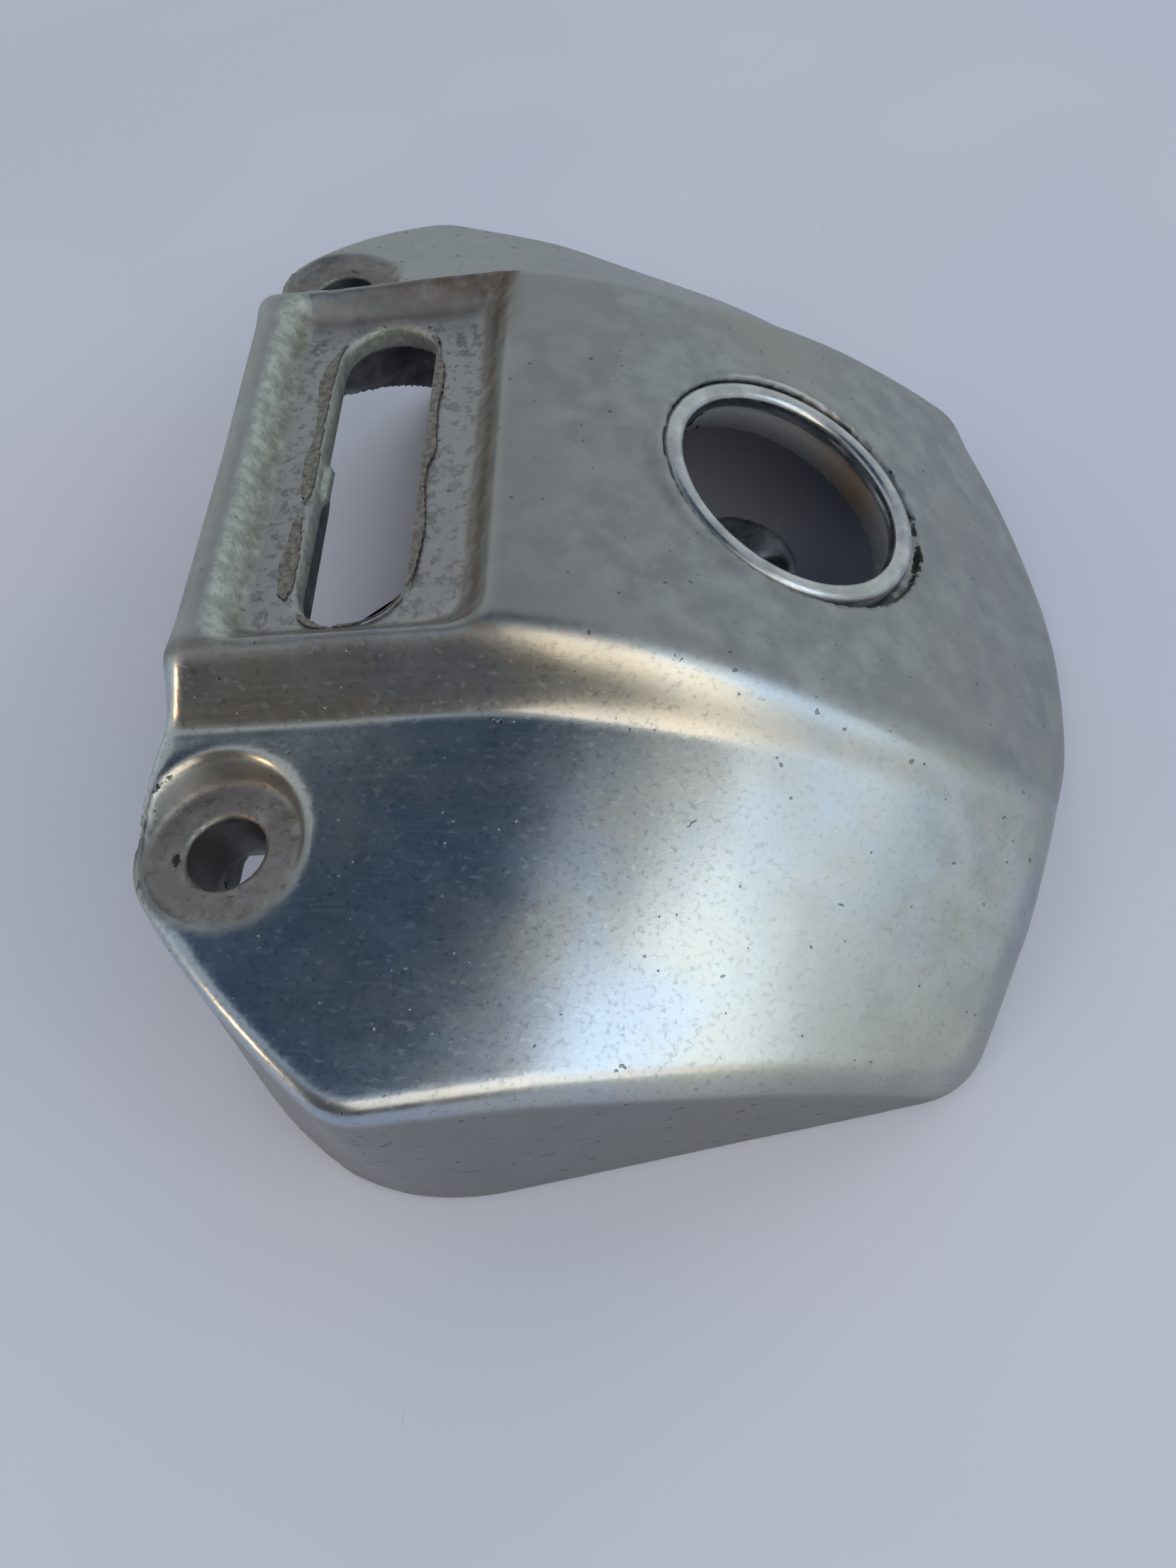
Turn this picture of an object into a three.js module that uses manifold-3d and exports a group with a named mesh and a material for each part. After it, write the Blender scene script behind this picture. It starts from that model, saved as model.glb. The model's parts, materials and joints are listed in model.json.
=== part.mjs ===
// A cast aluminium yoke cover: one hollow shell with a ridge, two bolt ears, a lamp recess with a slot,
// and a tilted lock bore. Millimetres. X runs to the nose, Y across, Z up along the ear bolts.
// Heights and stations below start midway between the floors of the two counterbores. The finished
// cover is then moved so that its origin is the middle of its underside.
import * as THREE from "three";
import { mergeVertices } from "three/addons/utils/BufferGeometryUtils.js";
import Module from "manifold-3d";

const wasm = await Module();
wasm.setup();

// Driving sizes
const EAR_SPACING = 100; // between the two bolt holes
const BOLT_HOLE_R = 4.5; // clearance for M8
const COUNTERBORE_FLOOR_R = 8.5;
const COUNTERBORE_RIM_R = 9.7;
const COUNTERBORE_RIM_Z = 2.2; // height of the rim above the counterbore floor, which is z = 0
const EAR_BOSS_R = 12.5;
const EAR_BOSS_BOTTOM = -9.5;

const WALL = 3;
const BASE_Z = -37; // the edge that the cover stands on
const DRAFT = Math.tan(THREE.MathUtils.degToRad(5.5));
const CREASE_R = 2.3; // rounding between the top and the skirt
const REAR_CUT_START_X = 6; // behind this the bottom edge rises towards the ears
const REAR_CUT_SLOPE = 0.95;
const MIDDLE_X = 46.81; // halfway along the cover, where its origin goes

const RECESS_FLOOR_Z = 8.85;
const RECESS_FLOOR = { x0: 0.8, x1: 26.3, y: 27.4, corner: 2.5 };
const RECESS_RIM = { x0: -1.3, x1: 29.6, y: 30.7, corner: 4.5, z: 12.5 };
const RECESS_FLOOR_THICK = 3.5;
const SLOT = { x: 12.9, length: 53.4, width: 13.2 };
const SLOT_LUG = { y: -1, length: 6.5, reach: 0.9, height: 1.8 };

const BORE_CENTRE = new THREE.Vector3(65.2, 0, -1.05); // middle of the ring's mouth
const BORE_TILT = 0.51; // the bore leans to the nose by this angle
const BORE_DEPTH = 6;
const RING_MOUTH_R = 15.5;
const RING_OUTER_R = 18.2;
const RING_LIP = 1.5; // depth of the narrow lip above the undercut
const RING_UNDERCUT_R = 16.5;
const RING_FIT = 0.2; // gap to the casting all round
const COLLAR = { topR: 19.1, bottomR: 20.4, top: 0.1, bottom: -2.5 };
const BORE_TUBE_R = 21;

const LOCK_LUG = { x: 56, r: 10.5, top: -15, thick: 3, holeX: 62.8, holeR: 2.2, webX: 42.5, webHalf: 7 };

const GASKET_THICK = 0.35;
const GASKET_GAP = 0.05;

// A smooth curve y(x) through a few points: cubic pieces between them, and straight on past the ends.
function through(points) {
  const slope = points.map((p, i) => {
    const a = points[Math.max(i - 1, 0)];
    const b = points[Math.min(i + 1, points.length - 1)];
    return (b[1] - a[1]) / (b[0] - a[0]);
  });
  return (x) => {
    const last = points.length - 2;
    let i = points.findIndex((p) => p[0] > x) - 1;
    if (i < 0) i = x < points[0][0] ? 0 : last;
    const [x0, y0] = points[i];
    const [x1, y1] = points[i + 1];
    const w = x1 - x0;
    const s = (x - x0) / w;
    if (s < 0) return y0 + slope[i] * (x - x0);
    if (s > 1) return y1 + slope[i + 1] * (x - x1);
    const h = s * s * (3 - 2 * s);
    const bend = s * (1 - s) * w;
    return y0 * (1 - h) + y1 * h + bend * ((1 - s) * slope[i] - s * slope[i + 1]);
  };
}

// The ridge: the height of its edges, how far its middle stands above them, its half width, how far its
// shoulders drop and how wide they are.
const ridgeZ = through([
  [-20, 12.7], [5, 12.8], [29.6, 13.2], [42, 10.3], [54, 5.1],
  [66, -1.2], [78, -9.1], [92, -21.1], [107, -36.8],
]);
const ridgeCrown = through([[-20, 0], [34, 0], [54, 0.8], [66, 1], [108, 1]]);
const ridgeHalf = through([[-15, 32.2], [27, 31.3], [50, 32], [75, 33.2], [108, 34.3]]);
const shoulderDrop = through([[-15, 7.5], [25, 8.2], [42, 7.4], [57, 5], [73, 3.4], [91, 1.3], [108, 0]]);
const SHOULDER_RUN = 4.6;
// The wings fall away from the foot of the shoulder, more steeply towards the nose.
const wingSlope = through([
  [-15, 0.17], [0, 0.2], [22, 0.33], [51, 0.53], [66, 0.61], [80, 0.68], [108, 0.7],
]);

// Height of the top surface before its edges are rounded.
function topZ(x, y) {
  const half = ridgeHalf(x);
  const out = Math.abs(y) - half;
  const drop = shoulderDrop(x);
  if (out <= 0) return ridgeZ(x) + ridgeCrown(x) * (1 - (y / half) ** 2);
  if (out < SHOULDER_RUN) return ridgeZ(x) - (drop * out) / SHOULDER_RUN;
  return ridgeZ(x) - drop - wingSlope(x) * (out - SHOULDER_RUN);
}

// Half of the outline at the bottom edge, from the middle of the rear round the ear to the nose tip.
const REAR_X = -10.7;
const EAR_LOBE = { x: 0.6, y: EAR_SPACING / 2 + 0.6, r: 14 };
const EAR_TO_WING = new THREE.Vector2(-4, 68.3); // the diagonal edge bows out towards this point
const DIAGONAL_END = new THREE.Vector2(3.2, 73.4); // and is straight from here to the wing's corner
const WING_CORNER = new THREE.Vector2(12, 80.9);
const FRONT_CORNER = new THREE.Vector2(82, 67.6);
const NOSE_X = 105.4;

function outlineHalf() {
  const path = new THREE.Path();
  const leave = THREE.MathUtils.degToRad(150); // where the lobe runs on into the diagonal edge
  path.moveTo(REAR_X, 0);
  path.lineTo(REAR_X - 0.2, 26);
  path.bezierCurveTo(REAR_X - 0.5, 34, EAR_LOBE.x - EAR_LOBE.r, 36, EAR_LOBE.x - EAR_LOBE.r, EAR_LOBE.y - 2);
  path.absarc(EAR_LOBE.x, EAR_LOBE.y, EAR_LOBE.r, Math.PI, leave, true);
  path.quadraticCurveTo(EAR_TO_WING.x, EAR_TO_WING.y, DIAGONAL_END.x, DIAGONAL_END.y);
  roundedTo(path, WING_CORNER, FRONT_CORNER, 11);
  roundedTo(path, FRONT_CORNER, new THREE.Vector2(91.2, 50), 6);
  const nose = [[93.6, 45.3], [98.1, 33.8], [101.8, 24], [104.3, 12], [NOSE_X, 0]];
  path.splineThru(nose.map((p) => new THREE.Vector2(...p)));
  return path.getSpacedPoints(84);
}

// Runs straight towards a corner, then round it, starting and ending one reach away from it.
function roundedTo(path, corner, next, reach) {
  const from = path.currentPoint.clone();
  const before = corner.clone().sub(from).setLength(corner.distanceTo(from) - reach).add(from);
  const after = next.clone().sub(corner).setLength(reach).add(corner);
  path.lineTo(before.x, before.y);
  path.quadraticCurveTo(corner.x, corner.y, after.x, after.y);
}

// The closed outline, counter-clockwise seen from above.
function baseOutline() {
  const half = outlineHalf();
  const mirrored = half.slice(1, -1).reverse().map((p) => new THREE.Vector2(p.x, -p.y));
  return half.concat(mirrored).reverse();
}

const OUTLINE = baseOutline();

function outwardNormals(outline) {
  return outline.map((p, i) => {
    const a = outline.at(i - 1);
    const b = outline[(i + 1) % outline.length];
    return new THREE.Vector2(b.y - a.y, a.x - b.x).normalize();
  });
}

const OUTLINE_NORMALS = outwardNormals(OUTLINE);

// How far a point lies inside the outline; negative outside.
function insideBy(x, y) {
  let nearest = Infinity;
  let inside = false;
  OUTLINE.forEach((a, i) => {
    const b = OUTLINE[(i + 1) % OUTLINE.length];
    const dx = b.x - a.x;
    const dy = b.y - a.y;
    const s = THREE.MathUtils.clamp(((x - a.x) * dx + (y - a.y) * dy) / (dx * dx + dy * dy), 0, 1);
    nearest = Math.min(nearest, Math.hypot(x - a.x - s * dx, y - a.y - s * dy));
    if (a.y > y !== b.y > y && x < a.x + ((y - a.y) / dy) * dx) inside = !inside;
  });
  return inside ? nearest : -nearest;
}

// Top surface with the crease to the skirt rounded over.
function roundedTopZ(x, y) {
  const z = topZ(x, y);
  const in_ = insideBy(x, y) - DRAFT * (z - BASE_Z);
  if (in_ >= CREASE_R) return z;
  const t = CREASE_R - Math.max(in_, 0.1 * CREASE_R);
  return z - (CREASE_R - Math.sqrt(CREASE_R * CREASE_R - t * t));
}

// The underside of the shell follows the top at one wall's distance.
function innerTopZ(x, y) {
  return topZ(x + 0.5 * WALL, Math.abs(y) + 0.8 * WALL) - WALL;
}

// Half width of the rounded top at a station, where the crease meets the skirt.
function creaseHalf(x) {
  let lo = ridgeHalf(x) + SHOULDER_RUN;
  let hi = 95;
  for (let i = 0; i < 24; i++) {
    const mid = (lo + hi) / 2;
    if (insideBy(x, mid) > DRAFT * (topZ(x, mid) - BASE_Z)) lo = mid;
    else hi = mid;
  }
  return lo;
}

// Makes a manifold solid of any closed three.js geometry.
function solid(geometry) {
  const bare = geometry.index ? geometry.toNonIndexed() : geometry.clone();
  bare.deleteAttribute("normal");
  bare.deleteAttribute("uv");
  const merged = mergeVertices(bare, 1e-4);
  const mesh = new wasm.Mesh({
    numProp: 3,
    vertProperties: merged.attributes.position.array,
    triVerts: new Uint32Array(merged.index.array),
  });
  return new wasm.Manifold(mesh);
}

function geometryOf(manifold) {
  const mesh = manifold.getMesh();
  const geometry = new THREE.BufferGeometry();
  geometry.setAttribute("position", new THREE.BufferAttribute(new Float32Array(mesh.vertProperties), 3));
  geometry.setIndex(Array.from(mesh.triVerts));
  const flat = geometry.toNonIndexed();
  flat.computeVertexNormals();
  return flat;
}

// A closed solid between outlines stacked from the bottom up, each an array of THREE.Vector3.
function loft(rings) {
  const n = rings[0].length;
  const position = rings.flat().flatMap((p) => [p.x, p.y, p.z]);
  const index = [];
  for (let r = 0; r < rings.length - 1; r++) {
    for (let i = 0; i < n; i++) {
      const a = r * n + i;
      const b = r * n + ((i + 1) % n);
      index.push(a, b, b + n, a, b + n, a + n);
    }
  }
  const cap = THREE.ShapeUtils.triangulateShape(rings[0].map((p) => new THREE.Vector2(p.x, p.y)), []);
  const top = (rings.length - 1) * n;
  cap.forEach(([a, b, c]) => index.push(c, b, a, top + a, top + b, top + c));
  const geometry = new THREE.BufferGeometry();
  geometry.setAttribute("position", new THREE.Float32BufferAttribute(position, 3));
  geometry.setIndex(index);
  return solid(geometry);
}

// Everything under a surface z(x, y), down to a flat bottom, over rows of points across each station.
function underSurface(stations, rowsAt, heightAt, bottom) {
  const rows = stations.map((x) => rowsAt(x).map((y) => new THREE.Vector3(x, y, heightAt(x, y))));
  const m = rows[0].length;
  const lower = rows.flat().map((p) => new THREE.Vector3(p.x, p.y, bottom));
  const position = rows.flat().concat(lower).flatMap((p) => [p.x, p.y, p.z]);
  const under = rows.length * m;
  const index = [];
  const quad = (a, b, c, d) => index.push(a, b, c, a, c, d);
  for (let i = 0; i < rows.length - 1; i++) {
    for (let j = 0; j < m - 1; j++) {
      const a = i * m + j;
      quad(a, a + m, a + m + 1, a + 1);
      quad(under + a, under + a + 1, under + a + m + 1, under + a + m);
    }
    const near = i * m;
    const far = i * m + m - 1;
    quad(near, under + near, under + near + m, near + m);
    quad(far, far + m, under + far + m, under + far);
  }
  for (let j = 0; j < m - 1; j++) {
    const last = (rows.length - 1) * m + j;
    quad(j, j + 1, under + j + 1, under + j);
    quad(last, under + last, under + last + 1, last + 1);
  }
  const geometry = new THREE.BufferGeometry();
  geometry.setAttribute("position", new THREE.Float32BufferAttribute(position, 3));
  geometry.setIndex(index);
  return solid(geometry);
}

function mirroredRows(half) {
  return half.slice(1).reverse().map((y) => -y).concat(half);
}

// Rows across a station of the outer surface: close together at the shoulder and at the crease.
function outerRows(x) {
  const ridge = ridgeHalf(x);
  const foot = ridge + SHOULDER_RUN;
  const crease = creaseHalf(x);
  const start = foot + 2;
  const end = Math.max(crease - CREASE_R, start + 1);
  const wing = [0.33, 0.67, 1].map((f) => start + f * (end - start));
  const edge = [0.6, 0.28, 0.1].map((f) => Math.max(crease, start + 4) - f * CREASE_R);
  const shoulder = [0, ridge * 0.5, ridge - 0.7, ridge + 0.7, foot - 0.8, start - 1, start];
  return mirroredRows([...shoulder, ...wing, ...edge, 95]);
}

function innerRows(x) {
  const ridge = ridgeHalf(x) - 0.8 * WALL;
  return mirroredRows([0, ridge * 0.5, ridge, ridge + SHOULDER_RUN, ridge + 16, ridge + 30, 95]);
}

function stationsBetween(from, to, count) {
  return Array.from({ length: count + 1 }, (_, i) => from + ((to - from) * i) / count);
}

// The outline pulled in by a wall and drawn to a draft, from below the bottom edge to above the ridge.
const BELOW_BASE_Z = -60;
const ABOVE_RIDGE_Z = 16;

function draftedPrism(inset) {
  return loft(
    [BELOW_BASE_Z, ABOVE_RIDGE_Z].map((z) =>
      OUTLINE.map((p, i) => {
        const out = -inset - DRAFT * (z - BASE_Z);
        const n = OUTLINE_NORMALS[i];
        return new THREE.Vector3(p.x + n.x * out, p.y + n.y * out, z);
      }),
    ),
  );
}

// What lies below the bottom edge, which rises behind REAR_CUT_START_X.
function belowBottomEdge() {
  const rearX = -30;
  const rearZ = BASE_Z + (REAR_CUT_START_X - rearX) * REAR_CUT_SLOPE;
  const side = new THREE.Shape([
    new THREE.Vector2(rearX, -80),
    new THREE.Vector2(130, -80),
    new THREE.Vector2(130, BASE_Z),
    new THREE.Vector2(REAR_CUT_START_X, BASE_Z),
    new THREE.Vector2(rearX, rearZ),
  ]);
  const geometry = new THREE.ExtrudeGeometry(side, { depth: 220, bevelEnabled: false });
  return solid(geometry.rotateX(Math.PI / 2).translate(0, 110, 0));
}

function upright(radiusTop, radiusBottom, bottom, top, x, y, sides = 40) {
  const geometry = new THREE.CylinderGeometry(radiusTop, radiusBottom, top - bottom, sides);
  return solid(geometry.rotateX(Math.PI / 2).translate(x, y, (top + bottom) / 2));
}

// A turned solid standing on the tilted bore axis; radii and heights start at the ring's mouth plane.
function onBore(profile, sides = 56) {
  const points = profile.map(([r, h]) => new THREE.Vector2(r, h));
  const geometry = new THREE.LatheGeometry(points, sides).rotateX(Math.PI / 2);
  return geometry.rotateY(BORE_TILT).translate(...BORE_CENTRE.toArray());
}

function boreCone(bottomR, topR, bottom, top) {
  return solid(onBore([[0, bottom], [bottomR, bottom], [topR, top], [0, top]]));
}

function box(x0, x1, y0, y1, z0, z1) {
  const geometry = new THREE.BoxGeometry(x1 - x0, y1 - y0, z1 - z0);
  return solid(geometry.translate((x0 + x1) / 2, (y0 + y1) / 2, (z0 + z1) / 2));
}

function roundedRectangle(x0, x1, y, corner, z) {
  const path = new THREE.Path();
  path.moveTo(x0 + corner, -y);
  path.lineTo(x1 - corner, -y);
  path.absarc(x1 - corner, -y + corner, corner, -Math.PI / 2, 0);
  path.lineTo(x1, y - corner);
  path.absarc(x1 - corner, y - corner, corner, 0, Math.PI / 2);
  path.lineTo(x0 + corner, y);
  path.absarc(x0 + corner, y - corner, corner, Math.PI / 2, Math.PI);
  path.lineTo(x0, -y + corner);
  path.absarc(x0 + corner, -y + corner, corner, Math.PI, Math.PI * 1.5);
  const points = path.getPoints(6).slice(0, -1);
  const distinct = points.filter((p, i) => p.distanceTo(points.at(i - 1)) > 1e-6);
  return distinct.map((p) => new THREE.Vector3(p.x, p.y, z));
}

// The recess widens from its floor to its rim, and on above the surface.
function recessPocket() {
  const f = RECESS_FLOOR;
  const r = RECESS_RIM;
  const beyond = (key) => 2 * r[key] - f[key];
  const topZ = 2 * r.z - RECESS_FLOOR_Z;
  return loft([
    roundedRectangle(f.x0, f.x1, f.y, f.corner, RECESS_FLOOR_Z),
    roundedRectangle(beyond("x0"), beyond("x1"), beyond("y"), beyond("corner"), topZ),
  ]);
}

function slotCut() {
  const r = SLOT.width / 2;
  const run = SLOT.length / 2 - r;
  const shape = new THREE.Shape();
  shape.absarc(0, run, r, 0, Math.PI);
  shape.absarc(0, -run, r, Math.PI, Math.PI * 2);
  const geometry = new THREE.ExtrudeGeometry(shape, { depth: 20, bevelEnabled: false, curveSegments: 16 });
  const lugX = SLOT.x - r;
  const lugZ = RECESS_FLOOR_Z - RECESS_FLOOR_THICK;
  const { y, length, reach, height } = SLOT_LUG;
  const lug = box(lugX - 1, lugX + reach, y - length / 2, y + length / 2, lugZ - 1, lugZ + height);
  return solid(geometry.translate(SLOT.x, 0, RECESS_FLOOR_Z - 10)).subtract(lug);
}

// A lug hangs from the ridge below the bore, with the hole that the lock's screw went into.
function lockLug() {
  const { x, r, top, thick, holeX, holeR, webX, webHalf } = LOCK_LUG;
  const plate = upright(r, r, top - thick, top, x, 0);
  const hanger = box(webX, webX + WALL, -webHalf, webHalf, top - thick, 9);
  const web = hanger.add(box(webX, x, -webHalf, webHalf, top - thick, top));
  const hole = upright(holeR, holeR, top - thick - 1, top + 1, holeX, 0, 20);
  return plate.add(web).subtract(hole);
}

function ears(make) {
  return make(EAR_SPACING / 2).add(make(-EAR_SPACING / 2));
}

function boltHole(y) {
  const hole = upright(BOLT_HOLE_R, BOLT_HOLE_R, -40, 20, 0, y);
  const slope = (COUNTERBORE_RIM_R - COUNTERBORE_FLOOR_R) / COUNTERBORE_RIM_Z;
  const top = 12;
  return hole.add(upright(COUNTERBORE_FLOOR_R + slope * top, COUNTERBORE_FLOOR_R, 0, top, 0, y));
}

function casting() {
  const outerStations = [-16, -7, ...stationsBetween(-5.5, 106, 22)];
  const outer = underSurface(outerStations, outerRows, roundedTopZ, -70)
    .intersect(draftedPrism(0))
    .subtract(belowBottomEdge());
  const aboveTheRidgeWall = underSurface([40, 95], () => [-30, 30], () => 30, -8);
  const collar = boreCone(COLLAR.bottomR, COLLAR.topR, COLLAR.bottom, COLLAR.top).intersect(aboveTheRidgeWall);
  const tube = boreCone(BORE_TUBE_R, BORE_TUBE_R, -BORE_DEPTH, 0);
  const boreR = RING_OUTER_R + RING_FIT;
  const bore = boreCone(boreR, boreR, -BORE_DEPTH - 1, 30);
  const boss = (y) => upright(EAR_BOSS_R, EAR_BOSS_R, EAR_BOSS_BOTTOM, 12, 0, y);
  const aroundRecess = RECESS_RIM.y + 2;
  const floorBottom = RECESS_FLOOR_Z - RECESS_FLOOR_THICK;
  const floorBlock = box(-20, RECESS_RIM.x1 + 2, -aroundRecess, aroundRecess, floorBottom, 20);
  const cavity = underSurface(stationsBetween(-20, 112, 14), innerRows, innerTopZ, -80)
    .intersect(draftedPrism(WALL))
    .subtract(floorBlock)
    .subtract(ears(boss))
    .subtract(tube)
    .subtract(lockLug());
  return outer
    .subtract(cavity)
    .add(collar)
    .subtract(recessPocket())
    .subtract(slotCut())
    .subtract(bore)
    .subtract(ears(boltHole));
}

// The bright ring pressed into the bore, with a bead round its mouth and a wider bore below the lip.
function boreRing() {
  const bead = 0.9;
  const mid = (RING_MOUTH_R + RING_OUTER_R) / 2;
  const profile = [
    [RING_OUTER_R, -BORE_DEPTH],
    [RING_OUTER_R, -0.4],
    [RING_OUTER_R - 0.5, bead * 0.5],
    [mid, bead],
    [RING_MOUTH_R + 0.5, bead * 0.75],
    [RING_MOUTH_R, 0],
    [RING_MOUTH_R, -RING_LIP],
    [RING_UNDERCUT_R, -RING_LIP - 0.6],
    [RING_UNDERCUT_R, -BORE_DEPTH],
    [RING_OUTER_R, -BORE_DEPTH],
  ];
  return solid(onBore(profile, 64));
}

// A torn strip of gasket on the recess floor, between two edges that run the same way.
function gasketStrip(inner, outer) {
  const curve = (points) => new THREE.SplineCurve(points.map((p) => new THREE.Vector2(...p)));
  const along = curve(inner).getPoints(inner.length * 3);
  const back = curve(outer).getPoints(outer.length * 3).reverse();
  const shape = new THREE.Shape(along.concat(back));
  const geometry = new THREE.ExtrudeGeometry(shape, { depth: GASKET_THICK, bevelEnabled: false });
  return solid(geometry.translate(0, 0, RECESS_FLOOR_Z + GASKET_GAP));
}

// The long edges of the slot, which the gasket followed.
const front = SLOT.x + SLOT.width / 2;
const rear = SLOT.x - SLOT.width / 2;

const gaskets = {
  gasket_front: gasketStrip(
    [[front - 0.4, 22.5], [front, 15], [front, 0], [front, -15], [front - 0.6, -20.6]],
    [[front - 0.1, 23.8], [front + 1.5, 17.5], [front + 1.3, 0], [front + 1.5, -14], [front, -21.4]],
  ),
  gasket_near_end: gasketStrip(
    [[front - 0.9, -21.9], [front - 2.6, -24.3], [front - 5.4, -26.2], [front - 8.2, -26.75]],
    [[front - 0.4, -22.5], [front - 2, -25.1], [front - 5, -26.8], [front - 8.2, -27]],
  ),
  gasket_rear_corner: gasketStrip(
    [[rear + 0.6, -23.5], [rear + 1.9, -25.2], [rear + 4.8, -26.7]],
    [[rear + 0.2, -24.1], [rear + 1.6, -26], [rear + 4.8, -27]],
  ),
  gasket_rear_lower: gasketStrip(
    [[rear - 0.8, -8.9], [rear - 0.4, -14], [rear - 0.3, -18], [rear - 0.4, -22.2]],
    [[rear - 1.1, -8.9], [rear - 1.9, -13.1], [rear - 2.4, -17.5], [rear - 0.9, -22.6]],
  ),
  gasket_rear_upper: gasketStrip(
    [[rear + 0.4, 22.4], [rear - 0.3, 17], [rear - 0.5, 3], [rear - 0.5, -6.4]],
    [[rear + 0.1, 23], [rear - 2.1, 15.4], [rear - 1.6, 4.2], [rear - 1, -6.7]],
  ),
};

function part(name, manifold, material) {
  const mesh = new THREE.Mesh(geometryOf(manifold), material);
  mesh.name = name;
  return mesh;
}

const castAluminium = new THREE.MeshStandardMaterial({ color: 0x9a9fa3, roughness: 0.45, metalness: 0.9 });
const brightRing = new THREE.MeshStandardMaterial({ color: 0xc3c8cc, roughness: 0.25, metalness: 1 });
const oldGasket = new THREE.MeshStandardMaterial({ color: 0x6f6459, roughness: 0.95, metalness: 0 });

const cover = new THREE.Group();
cover.position.set(-MIDDLE_X, 0, -BASE_Z);
cover.add(part("cover_casting", casting(), castAluminium));
cover.add(part("bore_ring", boreRing(), brightRing));
Object.entries(gaskets).forEach(([name, strip]) => cover.add(part(name, strip, oldGasket)));

export default cover;
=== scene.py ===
"""A worn cast aluminium yoke cover on a pale table, lit by a large window, a warm fill and a small lamp.

Shapes are worked out in millimetres from a point midway between the two counterbore floors, with X to
the nose, Y across and Z up. They are moved into the frame, in metres, when their meshes are made.
"""
import json
import math
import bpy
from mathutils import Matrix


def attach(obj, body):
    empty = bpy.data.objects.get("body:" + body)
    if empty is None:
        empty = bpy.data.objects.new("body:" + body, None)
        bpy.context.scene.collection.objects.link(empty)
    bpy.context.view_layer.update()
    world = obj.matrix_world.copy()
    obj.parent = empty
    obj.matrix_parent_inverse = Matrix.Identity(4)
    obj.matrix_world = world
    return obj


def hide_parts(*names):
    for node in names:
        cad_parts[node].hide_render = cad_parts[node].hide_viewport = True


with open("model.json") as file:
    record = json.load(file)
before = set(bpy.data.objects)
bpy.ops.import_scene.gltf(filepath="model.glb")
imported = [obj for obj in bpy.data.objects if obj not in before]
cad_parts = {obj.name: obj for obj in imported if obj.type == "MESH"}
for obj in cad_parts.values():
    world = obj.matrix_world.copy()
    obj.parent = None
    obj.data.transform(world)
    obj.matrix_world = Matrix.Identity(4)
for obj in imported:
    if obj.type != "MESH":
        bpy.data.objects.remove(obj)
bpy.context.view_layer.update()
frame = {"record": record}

from types import SimpleNamespace

import bpy
import numpy as np
from mathutils import Matrix, Vector

MM = 0.001
SLAB = 30000  # points worked on at once where memory would run short

mounts = {mount["name"]: mount for mount in frame["record"]["mounts"]}
EAR_FLOOR = mounts["ear_near"]["pos_m"]
SHIFT = np.array([EAR_FLOOR[0], 0.0, EAR_FLOOR[2]])

# The casting
EAR_Y = 50.0
BOLT_HOLE_R = 4.5
COUNTERBORE_R = 8.5
COUNTERBORE_SPREAD = 0.45  # how much its radius grows for each millimetre of height
EAR_BOSS_R = 12.5
EAR_BOSS_BOTTOM = -9.5
WALL = 3.0
BASE_Z = -37.0
HOLLOW_CORNER_R = 2.5
DRAFT = math.tan(math.radians(5.5))
CREASE_R = 1.9
REAR_CREASE_R = 3.2
REAR_CREASE_X = (0, 12)
REAR_CREASE_Y = (33, 40)
REAR_CUT_X = 6.0
REAR_CUT_SLOPE = 0.95
SHOULDER_RUN = 4.6
SHOULDER_SOFT = 1.6
RIDGE_Z = [
    (-20, 12.7), (5, 12.8), (29.6, 13.2), (42, 10.3), (54, 5.1),
    (66, -1.2), (78, -9.1), (92, -21.1), (107, -36.8),
]
RIDGE_CROWN = [(-20, 0), (34, 0), (54, 0.8), (66, 1), (108, 1)]
RIDGE_HALF = [(-15, 32.2), (27, 31.3), (50, 32), (75, 33.2), (108, 34.3)]
SHOULDER_DROP = [(-15, 7.5), (25, 8.2), (42, 7.4), (57, 5), (73, 3.4), (91, 1.3), (108, 0)]
WING_SLOPE = [(-15, 0.17), (0, 0.2), (22, 0.33), (51, 0.53), (66, 0.61), (80, 0.68), (108, 0.7)]

# The outline at the base
REAR_X = -10.7
LOBE = {"x": 0.6, "y": 50.6, "r": 14.0, "leave": math.radians(150)}
EAR_TO_WING = (-4, 68.3)
WING_CORNER = (12, 80.9)
FRONT_CORNER = (82, 67.6)
BASE_CORNER_REACH = 14.5
TOP_CORNER_REACH = 5.0
FRONT_CORNER_REACH = 6.0
TOP_CORNER_Z = -6.0
NOSE = [(91.2, 50), (93.6, 45.3), (98.1, 33.8), (101.8, 24), (104.3, 12), (105.4, 0)]

# The recess, the slot and the bore
FLOOR_Z = 8.85
RECESS = {"x0": 0.8, "x1": 26.3, "y": 27.4}
RECESS_RISE = 3.65
RECESS_SPREAD = {"rear": 2.1, "front": 3.3, "side": 3.3}
RECESS_CORNER_R = 3.2
RECESS_FILLET = 1.0
FLOOR_THICK = 3.5
FLOOR_BLOCK = {"x1": 31.6, "y": 32.7}
SLOT = {"x": 12.9, "length": 53.4, "width": 13.2}
SLOT_LUG = {"y": -1.0, "length": 6.5, "reach": 0.9, "root": 1.5, "height": 1.8}
BORE = np.array([65.2, 0.0, -1.05])
TILT = 0.51
BORE_AXIS = np.array([math.sin(TILT), 0.0, math.cos(TILT)])
DOWN_RIDGE = np.array([math.cos(TILT), 0.0, -math.sin(TILT)])
BORE_DEPTH = 6.0
RING_R = 18.2
MOUTH_R = 15.5
UNDERCUT_R = 16.5
RING_OVERLAP = 0.2  # the casting's bore is this much less in radius than the ring, so no gap shows
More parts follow.
